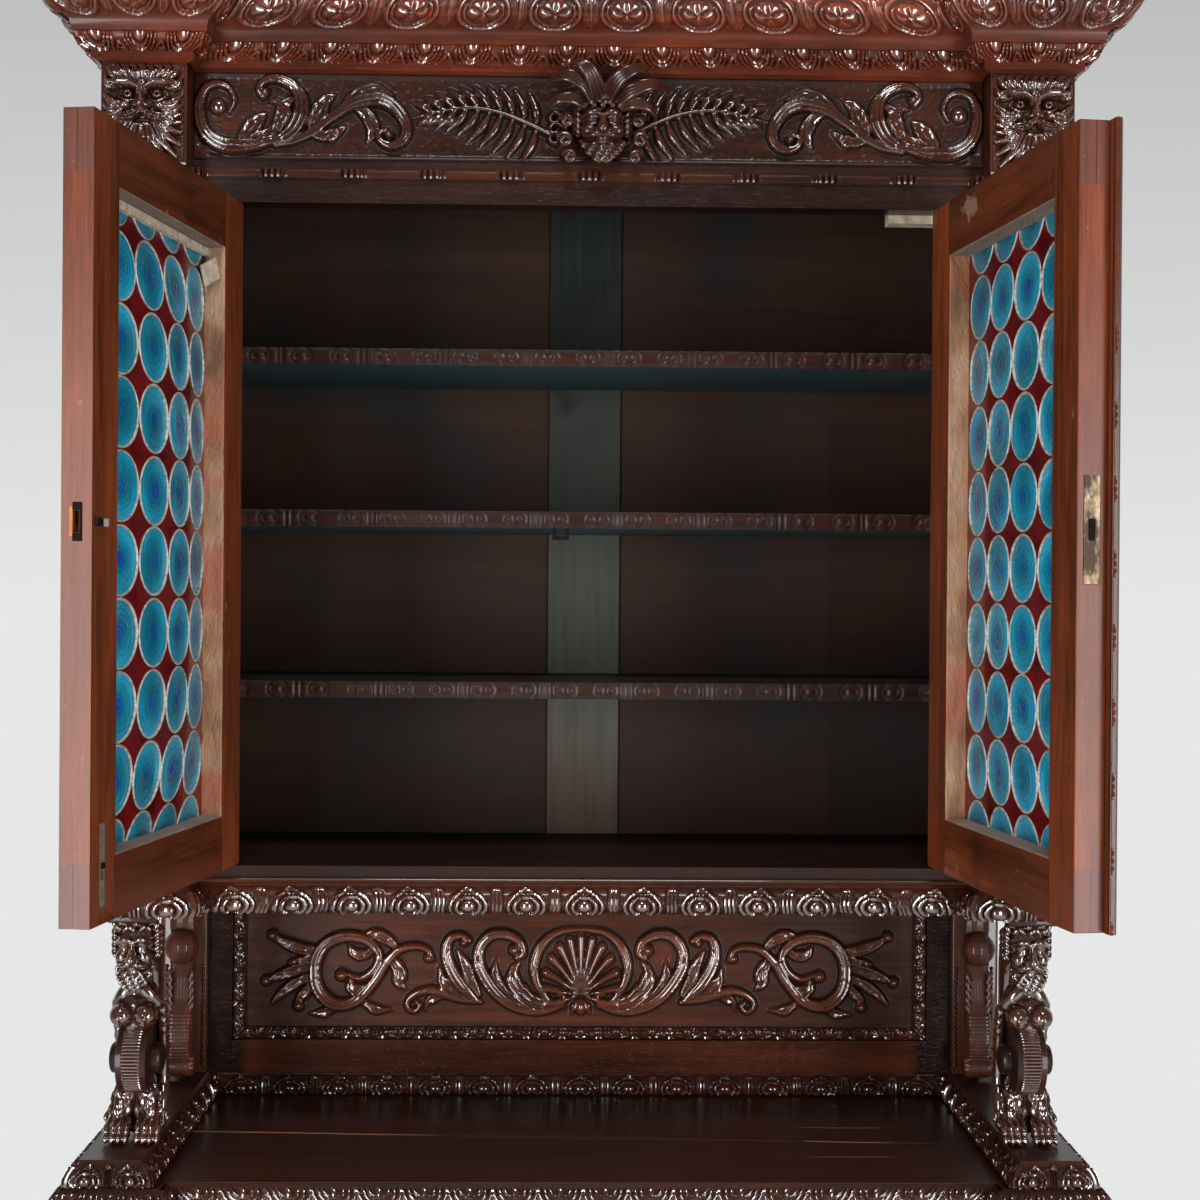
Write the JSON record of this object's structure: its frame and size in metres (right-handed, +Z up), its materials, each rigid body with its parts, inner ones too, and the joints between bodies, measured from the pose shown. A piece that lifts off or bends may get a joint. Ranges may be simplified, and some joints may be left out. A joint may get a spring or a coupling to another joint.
{
  "type": "carved buffet with glazed hutch",
  "caption": "Tall carved walnut buffet: a cupboard base with drawers and doors, an open niche between carved beast supports and a glazed upper cupboard with swinging leaded doors",
  "frame": {"origin": "middle of the back's foot, where the back meets wall and floor", "axes": "+X to the right seen from the front, +Y to the wall, +Z up"},
  "size_m": [1.38, 0.8302, 2.392],
  "materials": {
    "walnut": "old waxed walnut, near black in the hollows",
    "carved_walnut": "carved walnut, dark stain rubbed glossy on the high points",
    "door_walnut": "red-brown walnut, worn along the edges",
    "inside_wood": "dark stained boards, dull",
    "pale_wood": "bare pale wood, greyed",
    "blue_glass": "blue bull's-eye roundels with ripples",
    "red_glass": "dark crimson pieces between the roundels",
    "lead": "pale grey lead with dull solder",
    "iron": "dark wrought iron, worn grey",
    "brass": "old brass, dull and scratched"
  },
  "bodies": {
    "cabinet": {"base_plinth": "walnut", "base_panels": "walnut", "base_posts": "walnut", "base_rails": "walnut", "worktop_boards": "walnut", "niche_frame": "walnut", "upper_floor": "walnut", "upper_sides": "walnut", "upper_posts": "walnut", "frieze_rail": "walnut", "mask_block_left": "walnut", "mask_block_right": "walnut", "cornice": "walnut", "worktop_edge": "carved_walnut", "figure_plinths": "carved_walnut", "figure_left": "carved_walnut", "figure_right": "carved_walnut", "rear_pilasters": "carved_walnut", "niche_panel": "carved_walnut", "niche_panel_moulding": "carved_walnut", "niche_foot_moulding": "carved_walnut", "waist_moulding": "carved_walnut", "frieze_bead": "carved_walnut", "shelf_edge_strips": "carved_walnut", "base_boards": "inside_wood", "drawer_runners": "inside_wood", "upper_back_boards": "inside_wood", "shelf_bottom": "inside_wood", "shelf_middle": "inside_wood", "shelf_top": "inside_wood", "shelf_cleats": "inside_wood", "top_boards": "inside_wood", "upper_back_plank": "pale_wood", "corner_block": "pale_wood", "frame_hinges": "iron", "hook_staple": "iron", "base_door_pins": "iron"},
    "left_door": {"left_door_frame": "door_walnut", "left_door_moulding": "door_walnut", "left_door_cames": "lead", "left_door_roundels": "blue_glass", "left_door_red_glass": "red_glass", "left_door_hinges": "iron", "flush_bolt_plate": "iron"},
    "flush_bolt": {"flush_bolt": "iron"},
    "door_hook": {"door_hook": "iron"},
    "right_door": {"right_door_frame": "door_walnut", "right_door_moulding": "door_walnut", "right_door_cames": "lead", "right_door_roundels": "blue_glass", "right_door_red_glass": "red_glass", "right_door_hinges": "iron", "door_lock": "brass"},
    "lock_bolt": {"lock_bolt": "brass"},
    "left_base_door": {"left_base_door": "walnut"},
    "right_base_door": {"right_base_door": "walnut"},
    "left_drawer": {"left_drawer": "walnut"},
    "right_drawer": {"right_drawer": "walnut"}
  },
  "joints": [
    {"name": "left_door_hinge", "type": "hinge", "parent": "cabinet", "child": "left_door", "pos_m": [-0.4765, -0.3453, 1.7], "axis": [0, 0, 1], "range_deg": [-11.5, 98.5]},
    {"name": "right_door_hinge", "type": "hinge", "parent": "cabinet", "child": "right_door", "pos_m": [0.4765, -0.3453, 1.7], "axis": [0, 0, -1], "range_deg": [-13, 97]},
    {"name": "flush_bolt_slide", "type": "slide", "parent": "left_door", "child": "flush_bolt", "axis": [0, 0, -1], "range_m": [0, 0.011]},
    {"name": "door_hook_turn", "type": "hinge", "parent": "left_door", "child": "door_hook", "pos_m": [-0.50509, -0.78895, 1.698], "axis": [0.989, -0.1478, 0], "range_deg": [-90, 0]},
    {"name": "lock_bolt_slide", "type": "slide", "parent": "right_door", "child": "lock_bolt", "axis": [0.1219, -0.9925, 0], "range_m": [0, 0.01]},
    {"name": "left_base_door_hinge", "type": "hinge", "parent": "cabinet", "child": "left_base_door", "pos_m": [-0.501, -0.405, 0.43], "axis": [0, 0, -1], "range_deg": [0, 88]},
    {"name": "right_base_door_hinge", "type": "hinge", "parent": "cabinet", "child": "right_base_door", "pos_m": [0.501, -0.405, 0.43], "axis": [0, 0, 1], "range_deg": [0, 88]},
    {"name": "left_drawer_slide", "type": "slide", "parent": "cabinet", "child": "left_drawer", "axis": [0, -1, 0], "range_m": [0, 0.27]},
    {"name": "right_drawer_slide", "type": "slide", "parent": "cabinet", "child": "right_drawer", "axis": [0, -1, 0], "range_m": [0, 0.27]}
  ]
}
